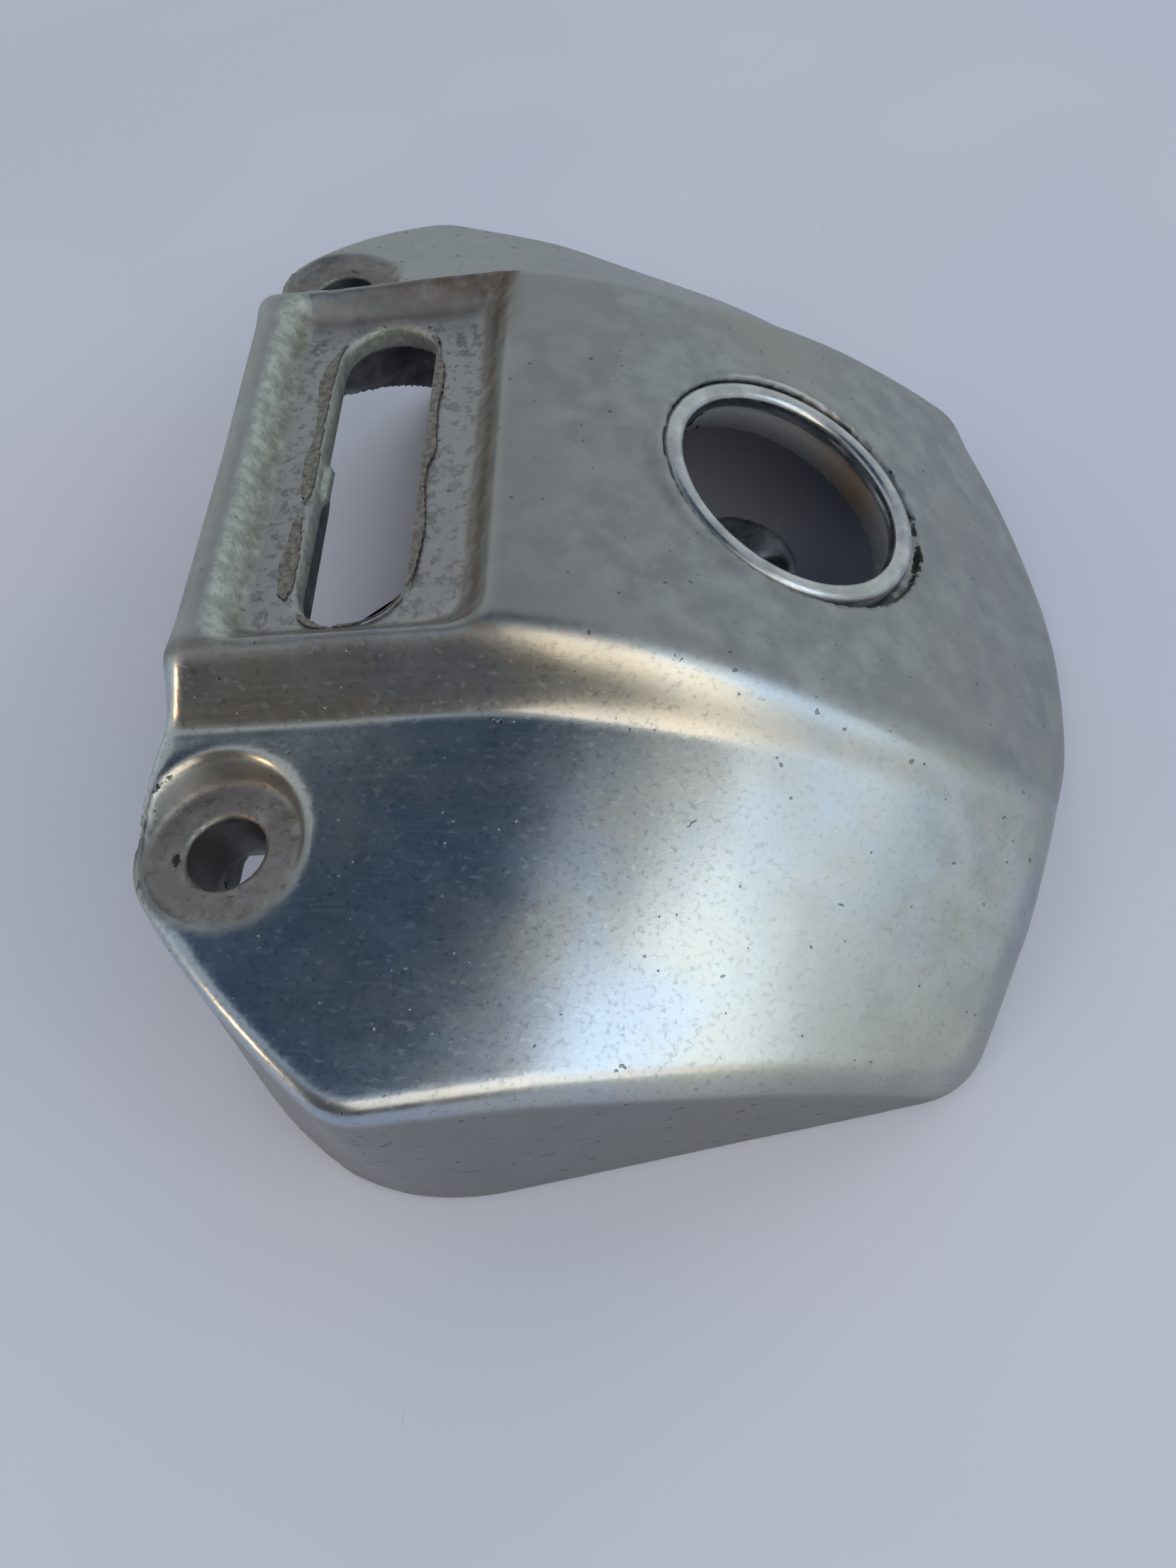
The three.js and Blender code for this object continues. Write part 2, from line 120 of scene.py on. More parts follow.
RING_BEAD = {"z": -0.35, "height": 1.2, "fullness": 0.8, "steps": 15}
RING_SIDES = 192
TUBE_R = 21.0
GROOVE = {"r": 18.95, "ahead": 1.0, "depth": 1.5}
COLLAR = {"r": 19.3, "spread": 0.52, "top": 0.1, "bottom": -3.0, "fillet": 2.0}
LUG = {
    "x": 56.0, "r": 10.5, "top": -15.0, "thick": 3.0, "hole_x": 62.8, "hole_r": 2.2,
    "web_x": 42.5, "web": 7.0, "web_top": 9.0,
}

# The radii of the casting's edges and fillets
EDGE_R = {
    "wall": 0.5, "recess": 0.7, "slot": 0.35, "slot_lug": 0.4, "slot_lug_end": 0.3, "bore": 0.15,
    "groove": 0.7, "boss": 0.8, "counterbore": 0.8, "bolt_hole": 0.4, "lug": 0.6, "lug_hole": 0.4,
}
FILLET_R = {"in_hollow": 1.2, "counterbore": 0.4, "lug": 1.0, "web": 1.5}
HAND_FINISH = (0.035, 0.010)  # the heights of its slow and quick waves

GRID_STEP = 0.85
EVENING_PASSES = 3
GRID_LOW = np.array([-20.0, -84.0, -39.5])
GRID_HIGH = np.array([110.0, 84.0, 16.0])


def smoothstep(x, low, high):
    s = np.clip((x - low) / (high - low), 0, 1)
    return s * s * (3 - 2 * s)


def through(points):
    """A smooth curve y(x) through a few points: cubic pieces, and straight on past the ends."""
    px, py = np.array(points, float).T
    ahead = np.minimum(np.arange(len(px)) + 1, len(px) - 1)
    behind = np.maximum(np.arange(len(px)) - 1, 0)
    slope = (py[ahead] - py[behind]) / (px[ahead] - px[behind])

    def curve(x):
        i = np.clip(np.searchsorted(px, x, side="right") - 1, 0, len(px) - 2)
        w = px[i + 1] - px[i]
        s = (x - px[i]) / w
        t = np.clip(s, 0, 1)
        h = t * t * (3 - 2 * t)
        y = py[i] * (1 - h) + py[i + 1] * h + t * (1 - t) * w * ((1 - t) * slope[i] - t * slope[i + 1])
        return y + (s - t) * w * np.where(s < 0, slope[i], slope[i + 1])

    return curve


ridge_z = through(RIDGE_Z)
ridge_crown = through(RIDGE_CROWN)
ridge_half = through(RIDGE_HALF)
shoulder_drop = through(SHOULDER_DROP)
wing_slope = through(WING_SLOPE)


def round_max(a, b, r):
    """Where two distances meet in a convex edge of radius r."""
    return np.minimum(np.maximum(a, b), -r) + np.hypot(np.maximum(a + r, 0), np.maximum(b + r, 0))


def round_min(a, b, r):
    """Where two solids join with a fillet of radius r."""
    return -round_max(-a, -b, r)


# Outlines in plan

def bend(start, control, end, count=24):
    s = np.linspace(0, 1, count)[:, None]
    start, control, end = (np.array(p, float) for p in (start, control, end))
    return start * (1 - s) ** 2 + 2 * control * s * (1 - s) + end * s * s


def cubic(start, leave, arrive, end, count=32):
    s = np.linspace(0, 1, count)[:, None]
    start, leave, arrive, end = (np.array(p, float) for p in (start, leave, arrive, end))
    return start * (1 - s) ** 3 + 3 * leave * s * (1 - s) ** 2 + 3 * arrive * s * s * (1 - s) + end * s**3


def corner(start, point, end, reach):
    """From one reach before a corner to one reach past it."""
    start, point, end = (np.array(p, float) for p in (start, point, end))
    before = point + (start - point) * reach / np.linalg.norm(start - point)
    after = point + (end - point) * reach / np.linalg.norm(end - point)
    return bend(before, point, after)


def half_outline(reach):
    """The outline on one side, from the middle of the rear to the tip of the nose."""
    turn = np.linspace(math.pi, LOBE["leave"], 24)
    arc = np.stack([LOBE["x"] + LOBE["r"] * np.cos(turn), LOBE["y"] + LOBE["r"] * np.sin(turn)], 1)
    rear = cubic((REAR_X - 0.2, 26), (REAR_X - 0.5, 34), (LOBE["x"] - LOBE["r"], 36), arc[0])
    wing_end = corner(EAR_TO_WING, WING_CORNER, FRONT_CORNER, reach)
    diagonal = bend(arc[-1], EAR_TO_WING, wing_end[0])
    front_end = corner(WING_CORNER, FRONT_CORNER, NOSE[0], FRONT_CORNER_REACH)
    beyond_tip = (NOSE[-2][0], -NOSE[-2][1])
    nose_x = through([(y, x) for x, y in reversed(NOSE + [beyond_tip])])
    along = np.linspace(NOSE[0][1], 0, 60)
    nose = np.stack([nose_x(along), along], 1)
    return np.concatenate([[(REAR_X, 0)], rear, arc, diagonal, wing_end, front_end, nose])


def distance_table(outline, xs, ys):
    """Signed distance to the outline over a plan grid, negative inside."""
    x, y = (g.ravel() for g in np.meshgrid(xs, ys, indexing="ij"))
    a, b = outline[:-1], outline[1:]
    run = b - a
    keep = (run**2).sum(1) > 1e-12
    a, b, run = a[keep], b[keep], run[keep]
    result = np.empty(len(x))
    for first in range(0, len(x), SLAB):
        px = x[first : first + SLAB, None]
        py = y[first : first + SLAB, None]
        s = np.clip(((px - a[:, 0]) * run[:, 0] + (py - a[:, 1]) * run[:, 1]) / (run**2).sum(1), 0, 1)
        nearest = np.hypot(px - a[:, 0] - s * run[:, 0], py - a[:, 1] - s * run[:, 1]).min(1)
        spans = (a[:, 1] > py) != (b[:, 1] > py)
        rise = np.where(run[:, 1] == 0, 1, run[:, 1])
        crossings = (spans & (px < a[:, 0] + (py - a[:, 1]) / rise * run[:, 0])).sum(1)
        result[first : first + SLAB] = np.where(crossings % 2 == 1, -nearest, nearest)
    return result.reshape(len(xs), len(ys))


PLAN_STEP = 0.5
plan_x = np.arange(-24, 116, PLAN_STEP)
plan_y = np.arange(0, 92, PLAN_STEP)
base_table = distance_table(half_outline(BASE_CORNER_REACH), plan_x, plan_y)
top_table = distance_table(half_outline(TOP_CORNER_REACH), plan_x, plan_y)


def look_up(table, x, y):
    """The table's value at any point of the plan, blended from the four round it."""
    u = np.clip((x - plan_x[0]) / PLAN_STEP, 0, len(plan_x) - 1.001)
    v = np.clip((y - plan_y[0]) / PLAN_STEP, 0, len(plan_y) - 1.001)
    i, j = u.astype(int), v.astype(int)
    s, t = u - i, v - j
    low = table[i, j] * (1 - s) + table[i + 1, j] * s
    high = table[i, j + 1] * (1 - s) + table[i + 1, j + 1] * s
    return low * (1 - t) + high * t


def top_height(x, y):
    """Height of the top surface; y is the distance from the middle."""
    half = ridge_half(x)
    out = y - half
    ridge = ridge_z(x) + ridge_crown(x) * (1 - np.minimum(y / half, 1.0) ** 2)
    wing = ridge_z(x) - shoulder_drop(x) - wing_slope(x) * (out - SHOULDER_RUN)
    fall = smoothstep(out, -SHOULDER_SOFT, SHOULDER_RUN + SHOULDER_SOFT)
    return ridge * (1 - fall) + wing * fall


def steepness(x, y):
    """How much further it is straight down from the top surface than square to it."""
    step = 0.2
    across = (top_height(x, y + step) - top_height(x, y - step)) / (2 * step)
    along = (top_height(x + step, y) - top_height(x - step, y)) / (2 * step)
    return np.sqrt(1 + across**2 + along**2)


# The casting as a signed distance, negative inside the metal

def shell(x, y, z):
    """The outer skin and the hollow under it."""
    x, y = np.broadcast_arrays(x, y)
    top = (z - top_height(x, y)) / steepness(x, y)
    upper = smoothstep(z, BASE_Z, TOP_CORNER_Z)
    outline = look_up(base_table, x, y) * (1 - upper) + look_up(top_table, x, y) * upper
    skirt = outline + DRAFT * (z - BASE_Z)
    at_rear = (1 - smoothstep(x, *REAR_CREASE_X)) * (1 - smoothstep(y, *REAR_CREASE_Y))
    outer = round_max(top, skirt, CREASE_R + (REAR_CREASE_R - CREASE_R) * at_rear)
    hollow = round_max(top + WALL, skirt + WALL, HOLLOW_CORNER_R)
    return outer, hollow


def on_bore(x, y, z, ahead=0.0):
    """Distance from the bore's axis and height along it, from the ring's mouth."""
    cx, cy, cz = BORE + DOWN_RIDGE * ahead
    height = (x - cx) * BORE_AXIS[0] + (z - cz) * BORE_AXIS[2]
    forward = (x - cx) * DOWN_RIDGE[0] + (z - cz) * DOWN_RIDGE[2]
    return np.hypot(forward, y - cy), height


def kept_in_hollow(x, y, z):
    """The recess floor, ear bosses, bore tube and lock lug, which the hollow goes round."""
    sides = np.maximum(y - FLOOR_BLOCK["y"], x - FLOOR_BLOCK["x1"])
    floor = np.maximum(sides, FLOOR_Z - FLOOR_THICK - z)
    boss = round_max(np.hypot(x, y - EAR_Y) - EAR_BOSS_R, EAR_BOSS_BOTTOM - z, EDGE_R["boss"])
    radius, height = on_bore(x, y, z)
    tube = round_max(radius - TUBE_R, -BORE_DEPTH - height, EDGE_R["boss"])
    return np.minimum(np.minimum(floor, boss), np.minimum(tube, lock_lug(x, y, z)))


def lock_lug(x, y, z):
    """The drilled lug under the ridge, on an arm from a web that hangs behind the bore."""
    bottom = LUG["top"] - LUG["thick"]
    level = np.maximum(z - LUG["top"], bottom - z)
    plate = round_max(np.hypot(x - LUG["x"], y) - LUG["r"], level, EDGE_R["lug"])
    arm = np.maximum(np.maximum(y - LUG["web"], level), np.maximum(LUG["web_x"] - x, x - LUG["x"]))
    web = np.maximum(np.maximum(LUG["web_x"] - x, x - LUG["web_x"] - WALL), y - LUG["web"])
    web = np.maximum(web, np.maximum(bottom - z, z - LUG["web_top"]))
    lug = round_min(round_min(plate, arm, FILLET_R["lug"]), web, FILLET_R["web"])
    return round_max(lug, LUG["hole_r"] - np.hypot(x - LUG["hole_x"], y), EDGE_R["lug_hole"])


def recess(x, y, z):
    """The space of the recess, whose walls lean outwards."""
    rise = z - FLOOR_Z

    def wall(distance, spread):
        lean = spread / RECESS_RISE
        return (distance - lean * rise) / math.hypot(1, lean)

    rear = wall(RECESS["x0"] - x, RECESS_SPREAD["rear"])
    front = wall(x - RECESS["x1"], RECESS_SPREAD["front"])
    side = wall(y - RECESS["y"], RECESS_SPREAD["side"])
    walls = round_max(np.maximum(rear, front), side, RECESS_CORNER_R)
    return round_max(walls, -rise, RECESS_FILLET)


def counterbore(x, y, z):
    """The conical well in an ear and the bolt hole through it."""
    radius = np.hypot(x, y - EAR_Y)
    cone = (radius - COUNTERBORE_R - COUNTERBORE_SPREAD * z) / math.hypot(1, COUNTERBORE_SPREAD)
    return round_max(cone, -z, FILLET_R["counterbore"]), radius - BOLT_HOLE_R


def slot_edge(x, y):
    """Distance in plan from the slot's edge, negative inside the slot."""
    r = SLOT["width"] / 2
    return np.hypot(x - SLOT["x"], np.maximum(y - SLOT["length"] / 2 + r, 0)) - r


def slot_lug(x, side, z):
    """The small lug that juts into the slot from its rear edge."""
    edge = SLOT["x"] - SLOT["width"] / 2
    bottom = FLOOR_Z - FLOOR_THICK
    across = np.maximum(x - edge - SLOT_LUG["reach"], edge - SLOT_LUG["root"] - x)
    along = np.abs(side - SLOT_LUG["y"]) - SLOT_LUG["length"] / 2
    level = np.maximum(bottom - z, z - bottom - SLOT_LUG["height"])
    return round_max(round_max(across, along, EDGE_R["slot_lug"]), level, EDGE_R["slot_lug_end"])


def hand_finish(x, y, z):
    """The faint unevenness of a surface ground and polished by hand."""
    slow = np.sin(0.19 * x + 1.3) * np.sin(0.16 * y + 0.09 * z + 0.4)
    quick = np.sin(0.47 * x + 0.31 * y + 0.7) * np.sin(0.39 * y - 0.24 * x + 2.1)
    return HAND_FINISH[0] * slow + HAND_FINISH[1] * quick


def below_base(x, z):
    """Beyond the base, which rises in a slope at the rear."""
    slope = BASE_Z + (REAR_CUT_X - x) * REAR_CUT_SLOPE - z
    return np.maximum(BASE_Z - z, slope / math.hypot(1, REAR_CUT_SLOPE))


def casting(x, side, z):
    """The whole casting. It is the same on both sides but for the slot's lug and the hand finish."""
    y = np.abs(side)
    outer, hollow = shell(x, y, z)
    radius, height = on_bore(x, y, z)
    cone = radius - COLLAR["r"] - COLLAR["spread"] * (COLLAR["top"] - height)
    collar = np.maximum(np.maximum(cone, height - COLLAR["top"]), COLLAR["bottom"] - height)
    outer = round_min(outer, collar, COLLAR["fillet"])
    hollow = round_max(hollow, -kept_in_hollow(x, y, z), FILLET_R["in_hollow"])
    metal = round_max(outer + hand_finish(x, side, z), -hollow, EDGE_R["wall"])
    metal = round_max(metal, below_base(x, z), EDGE_R["wall"])
    metal = round_max(metal, -recess(x, y, z), EDGE_R["recess"])
    metal = round_max(metal, -slot_edge(x, y), EDGE_R["slot"])
    metal = np.minimum(metal, slot_lug(x, side, z))
    bore = np.maximum(radius - RING_R + RING_OVERLAP, -BORE_DEPTH - 1 - height)
    metal = round_max(metal, -bore, EDGE_R["bore"])
    groove_radius, groove_height = on_bore(x, y, z, GROOVE["ahead"])
    groove = np.maximum(groove_radius - GROOVE["r"], -GROOVE["depth"] - groove_height)
    metal = round_max(metal, -groove, EDGE_R["groove"])
    well, hole = counterbore(x, y, z)
    return round_max(round_max(metal, -well, EDGE_R["counterbore"]), -hole, EDGE_R["bolt_hole"])


# Meshing a signed distance

CELL_CORNERS = [(i, j, k) for i in (0, 1) for j in (0, 1) for k in (0, 1)]
CELL_EDGES = [
    (a, b) for a in range(8) for b in range(a + 1, 8)
    if sum(p != q for p, q in zip(CELL_CORNERS[a], CELL_CORNERS[b])) == 1
]


def shifted(values, offset):
    """Each cell's value at one of its corners."""
    i, j, k = offset
    nx, ny, nz = (n - 1 for n in values.shape)
    return values[i : i + nx, j : j + ny, k : k + nz]


def net_points(values, low, step):
    """One point in each cell that the surface passes through, at the middle of its crossings."""
    corners = [shifted(values, offset) for offset in CELL_CORNERS]
    within = sum((c < 0).astype(int) for c in corners)
    cells = np.argwhere((within > 0) & (within < 8))
    at = tuple(cells.T)
    total = np.zeros((len(cells), 3))
    count = np.zeros(len(cells))
    for a, b in CELL_EDGES:
        va, vb = corners[a][at], corners[b][at]
        crossed = (va < 0) != (vb < 0)
        s = np.where(crossed, va / np.where(crossed, va - vb, 1), 0)[:, None]
        pa, pb = np.array(CELL_CORNERS[a], float), np.array(CELL_CORNERS[b], float)
        total += (pa + s * (pb - pa)) * crossed[:, None]
        count += crossed
    number = np.full([n - 1 for n in values.shape], -1)
    number[at] = np.arange(len(cells))
    return low + (cells + total / count[:, None]) * step, number


def net_quads(values, number):
    """A quad round each grid edge that the surface crosses, its face turned outwards."""
    quads = []
    inside = values < 0
    for axis in range(3):
        u, v = (axis + 1) % 3, (axis + 2) % 3
        first = np.take(inside, range(values.shape[axis] - 1), axis)
        second = np.take(inside, range(1, values.shape[axis]), axis)
        crossing = np.argwhere(first != second)
        crossing = crossing[(crossing[:, u] > 0) & (crossing[:, v] > 0)]
        crossing = crossing[(crossing[:, u] < values.shape[u] - 1) & (crossing[:, v] < values.shape[v] - 1)]
        leaving = first[tuple(crossing.T)]
        ring = []
        for du, dv in ((-1, -1), (0, -1), (0, 0), (-1, 0)):
            cell = crossing.copy()
            cell[:, u] += du
            cell[:, v] += dv
            ring.append(number[tuple(cell.T)])
        ring = np.stack(ring, 1)
        quads.append(np.where(leaving[:, None], ring, ring[:, ::-1]))
    return np.concatenate(quads)


def slide_to_surface(distance, points, most):
    """Moves each point along the distance's gradient, by no more than about most, towards the surface."""
    eps = 0.04
    least = 0.2  # so that a weak gradient doesn't make a long move
    x, y, z = points.T
    value = distance(x, y, z)
    slope = np.stack([
        distance(x + eps, y, z) - distance(x - eps, y, z),
        distance(x, y + eps, z) - distance(x, y - eps, z),
        distance(x, y, z + eps) - distance(x, y, z - eps),
    ], 1) / (2 * eps)
    push = np.clip(value / np.maximum((slope**2).sum(1), least), -most, most)
    return points - slope * push[:, None]


def evened(points, quads, share):
    """Each point moved part of the way to the middle of its neighbours."""
    total = np.zeros_like(points)
    count = np.zeros(len(points))
    for a, b in ((0, 1), (1, 2), (2, 3), (3, 0)):
        for p, q in ((a, b), (b, a)):
            np.add.at(total, quads[:, p], points[quads[:, q]])
            np.add.at(count, quads[:, p], 1)
    return points + share * (total / np.maximum(count, 1)[:, None] - points)


def net_of(distance, low, high, step):
    """Points and quads over the surface, from a grid of cells and a few passes of evening out."""
    axes = [np.arange(a, b, step) for a, b in zip(low, high)]
    x, y, z = axes[0][:, None, None], axes[1][None, :, None], axes[2][None, None, :]
    values = np.broadcast_to(distance(x, y, z), [len(a) for a in axes])
    points, number = net_points(values, low, step)
    quads = net_quads(values, number)
    for _ in range(EVENING_PASSES):
        points = slide_to_surface(distance, evened(points, quads, 0.5), 0.5 * step)
    return slide_to_surface(distance, points, 0.25 * step), quads


def piece(name, points, faces, material, slot, *nodes):
    """A smooth mesh from points in millimetres, riding on the root in place of its CAD nodes."""
    mesh = bpy.data.meshes.new(name)
    mesh.from_pydata((points * MM + SHIFT).tolist(), [], [list(f) for f in faces])
    mesh.materials.append(material)
    mesh.polygons.foreach_set("use_smooth", [True] * len(mesh.polygons))
    mesh.update()
    made = bpy.data.objects.new(name, mesh)
    bpy.context.scene.collection.objects.link(made)
    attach(made, "root")
    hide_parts(*nodes)
    return made


def paint_weights(made, weights):
    for name, values in weights.items():
        layer = made.data.attributes.new(name, "FLOAT", "POINT")
        layer.data.foreach_set("value", np.clip(values, 0, 1).astype(np.float32))


# Nodes

class Nodes:
    """Short ways to add shader nodes. A value is a number, a colour, or another node's output."""

    def __init__(self, tree):
        self.tree = tree
        self.tree.nodes.clear()

    def add(self, kind, inputs=(), **settings):
        node = self.tree.nodes.new(kind)
        for name, value in settings.items():
            setattr(node, name, value)
        for key, value in dict(inputs).items():
            self.give(node.inputs[key], value)
        return node

    def give(self, socket, value):
        if isinstance(value, bpy.types.NodeSocket):
            self.tree.links.new(value, socket)
        elif isinstance(value, tuple) and len(value) == 3 and socket.type == "RGBA":
            socket.default_value = (*value, 1)
        else:
            socket.default_value = value

    def place(self, stretch=(1, 1, 1), turn=(0, 0, 0)):
        """The point on the object, stretched and turned."""
        place = self.add("ShaderNodeTexCoord").outputs["Object"]
        inputs = {"Vector": place, "Scale": stretch, "Rotation": turn}
        return self.add("ShaderNodeMapping", inputs).outputs[0]

    def noise(self, size, detail=3.0, rough=0.55, stretch=(1, 1, 1), turn=(0, 0, 0)):
        """Cloudy noise whose features are about size millimetres across."""
        inputs = {"Vector": self.place(stretch, turn), "Scale": 1 / (size * MM), "Detail": detail}
        return self.add("ShaderNodeTexNoise", {**inputs, "Roughness": rough}).outputs[0]

    def scratches(self, size, turn):
        """Long thin marks lying in one direction."""
        return self.noise(size, 2.0, 0.5, (0.035, 1, 1), turn)

    def ramp(self, value, low, high, start=0.0, end=1.0):
        """A number that goes smoothly from start to end while the value goes from low to high."""
        inputs = {"Value": value, "From Min": low, "From Max": high, "To Min": start, "To Max": end}
        return self.add("ShaderNodeMapRange", inputs, interpolation_type="SMOOTHSTEP").outputs[0]

    def math(self, operation, a, b):
        return self.add("ShaderNodeMath", {0: a, 1: b}, operation=operation, use_clamp=True).outputs[0]

    def times(self, a, b):
        return self.math("MULTIPLY", a, b)

    def larger(self, a, b):
        return self.math("MAXIMUM", a, b)

    def mix(self, share, a, b):
        """A colour between a and b."""
        return self.add("ShaderNodeMix", {0: share, 6: a, 7: b}, data_type="RGBA").outputs[2]

    def between(self, share, a, b):
        """A number between a and b."""
        return self.add("ShaderNodeMix", {0: share, 2: a, 3: b}, data_type="FLOAT").outputs[0]

    def weight(self, name):
        """One of the weights that are kept with the mesh's points."""
        return self.add("ShaderNodeAttribute", attribute_name=name).outputs["Fac"]

    def bump(self, height, depth, below=None):
        """A bump whose height runs over depth millimetres."""
        inputs = {"Height": height, "Distance": depth * MM, "Strength": 1.0}
        if below is not None:
            inputs["Normal"] = below
        return self.add("ShaderNodeBump", inputs).outputs[0]

    def surface(self, **inputs):
        named = {key.replace("_", " ").title(): value for key, value in inputs.items()}
        shader = self.add("ShaderNodeBsdfPrincipled", named)
        self.add("ShaderNodeOutputMaterial", {"Surface": shader.outputs[0]})


CASTING_WEIGHTS = ("polish", "skirt", "inside", "cast_wall", "floor", "dirt_shade_and_glints", "paint")

# The colours of the finishes
DULL_DARK, DULL_LIGHT, DULL_WARM = (0.27, 0.285, 0.29), (0.39, 0.405, 0.405), (0.325, 0.32, 0.31)
BRIGHT_COOL, BRIGHT_WARM, FLECK = (0.44, 0.51, 0.58), (0.52, 0.53, 0.49), (0.62, 0.68, 0.74)
WALL_DARK, WALL_LIGHT = (0.36, 0.41, 0.38), (0.56, 0.61, 0.56)
INSIDE_DARK, INSIDE_LIGHT = (0.16, 0.18, 0.20), (0.38, 0.40, 0.42)
FLOOR_TONE, STAIN, SKIRT = (0.46, 0.45, 0.44), (0.16, 0.155, 0.15), (0.26, 0.27, 0.265)
# The dark brown in this line is dirt, and also painted shade round the recess's foot and painted warm
# reflections along its rims.
PIT, DIRT_SHADE_AND_GLINT_BROWN, BLACK_PAINT = (0.06, 0.06, 0.06), (0.115, 0.075, 0.045), (0.010, 0.014, 0.014)
RING_DARK, RING_LIGHT = (0.40, 0.42, 0.43), (0.56, 0.58, 0.59)
# The second colour here is a painted warm reflection for the ring's inner wall.
RING_WALL, RING_WALL_WARM_REFLECTION = (0.66, 0.70, 0.72), (0.62, 0.36, 0.18)
GASKET_DARK, GASKET_LIGHT, GASKET_EDGE = (0.16, 0.15, 0.13), (0.34, 0.32, 0.29), (0.03, 0.028, 0.025)
TABLE_COOL, TABLE_PALE, TABLE_SCUFF = (0.80, 0.85, 1.0), (0.86, 0.89, 1.0), (0.5, 0.51, 0.55)


def material(name):
    made = bpy.data.materials.new(name)
    made.use_nodes = True
    return made, Nodes(made.node_tree)


def casting_marks(n, w):
    """The clouds, scratches, pits, stains, grime with painted shade and painted warm reflections, and paint
    on the casting, each a number from 0 to 1.
    """
    pitted = n.ramp(n.noise(0.9, 2, 0.5, (0.4, 0.4, 1.6)), 0.66, 0.74)
    dirt_cloud = n.ramp(n.noise(2.4, 4, 0.6), 0.25, 0.6, 0.25, 1.0)
    flaking = n.ramp(n.noise(2.1, 5, 0.65), 0.3, 0.62, 0.2, 1.0)
    return SimpleNamespace(
        cloud=n.noise(24, 4),
        mottle=n.noise(5, 5, 0.6),
        grain=n.noise(0.7, 3, 0.6),
        strokes=n.scratches(0.5, (0, 0, 0.35)),
        cross=n.scratches(0.35, (0, 0, -0.9)),
        flecks=n.ramp(n.noise(1.2, 2, 0.5, (1, 1.6, 1), (0, 0, 0.4)), 0.61, 0.69),
        stains=n.ramp(n.noise(1.5, 5, 0.7), 0.5, 0.68),
        specks=n.ramp(n.noise(1.1, 1, 0.4), 0.76, 0.79),
        pits=n.times(pitted, w["skirt"]),
        # Dirt, with painted shade round the recess's foot and painted warm reflections along its rims.
        dirt_shade_and_glint_mix=n.times(w["dirt_shade_and_glints"], dirt_cloud),
        painted=n.ramp(n.times(w["paint"], flaking), 0.42, 0.52),
    )


def top_colour(n, w, marks):
    """Dull metal, and bright where it was polished; on the far wing less bright as painted shade."""
    dull = n.mix(n.ramp(marks.mottle, 0.35, 0.68), DULL_DARK, DULL_LIGHT)
    dull = n.mix(n.ramp(marks.cloud, 0.42, 0.66, 0.0, 0.55), dull, DULL_WARM)
    bright = n.mix(n.ramp(marks.cloud, 0.38, 0.64), BRIGHT_COOL, BRIGHT_WARM)
    bright = n.mix(n.times(marks.flecks, 0.18), bright, FLECK)
    bright = n.mix(n.ramp(marks.grain, 0.5, 0.78, 0.0, 0.4), bright, PIT)
    return n.mix(w["polish"], dull, bright)


def casting_colour(n, w, marks):
    colour = n.mix(n.times(w["floor"], 0.4), top_colour(n, w, marks), FLOOR_TONE)
    colour = n.mix(n.times(marks.stains, n.times(w["floor"], 0.5)), colour, STAIN)
    # The skirt's dark tone; on the far wing it is painted shade.
    colour = n.mix(n.times(w["skirt"], 0.6), colour, SKIRT)
    rough_wall = n.mix(n.ramp(n.noise(1.6, 4, 0.65), 0.38, 0.66), WALL_DARK, WALL_LIGHT)
    colour = n.mix(w["cast_wall"], colour, rough_wall)
    colour = n.mix(n.times(marks.pits, 0.7), colour, PIT)
    colour = n.mix(n.times(marks.specks, 0.6), colour, PIT)
    hollow = n.mix(n.ramp(marks.mottle, 0.35, 0.7), INSIDE_DARK, INSIDE_LIGHT)
    colour = n.mix(w["inside"], colour, hollow)
    # Dirt brown, which also paints shade round the recess's foot and warm reflections along its rims.
    colour = n.mix(marks.dirt_shade_and_glint_mix, colour, DIRT_SHADE_AND_GLINT_BROWN)
    return n.mix(marks.painted, colour, BLACK_PAINT)


def casting_roughness(n, w, marks):
    shine = n.between(n.ramp(marks.mottle, 0.3, 0.7), 0.21, 0.27)
    shine = n.between(n.ramp(marks.strokes, 0.5, 0.75), shine, 0.27)
    shine = n.between(n.times(marks.flecks, 0.6), shine, 0.33)
    matte = n.between(n.ramp(marks.mottle, 0.32, 0.68), 0.36, 0.5)
    roughness = n.between(w["polish"], matte, shine)
    roughness = n.between(n.larger(w["cast_wall"], w["inside"]), roughness, 0.58)
    return n.between(n.larger(marks.dirt_shade_and_glint_mix, marks.painted), roughness, 0.62)


def casting_metallic(n, w, marks):
    metallic = n.between(n.times(w["cast_wall"], 0.45), 1.0, 0.0)
    metallic = n.between(n.times(marks.dirt_shade_and_glint_mix, 0.7), metallic, 0.2)
    return n.between(marks.painted, metallic, 0.0)


def casting_relief(n, w, marks):
    relief = n.bump(marks.grain, 0.006)
    relief = n.bump(n.ramp(marks.strokes, 0.52, 0.76), 0.0007, relief)
    relief = n.bump(n.ramp(marks.cross, 0.62, 0.75), -0.002, relief)
    as_cast = n.times(n.noise(1.2, 4, 0.6), n.larger(w["cast_wall"], w["inside"]))
    relief = n.bump(as_cast, 0.22, relief)
    relief = n.bump(n.larger(marks.pits, marks.specks), -0.05, relief)
    relief = n.bump(n.times(marks.stains, w["floor"]), -0.06, relief)
    return n.bump(marks.painted, 0.05, relief)


def worn_aluminium():
    """Polished or dull on top, darker on the skirt and, as painted shade, on the far wing, rough where it
    was left as cast.
    """
    made, n = material("worn_cast_aluminium")
    w = {name: n.weight(name) for name in CASTING_WEIGHTS}
    marks = casting_marks(n, w)
    n.surface(
        base_color=casting_colour(n, w, marks),
        metallic=casting_metallic(n, w, marks),
        roughness=casting_roughness(n, w, marks),
        normal=casting_relief(n, w, marks),
    )
    return made


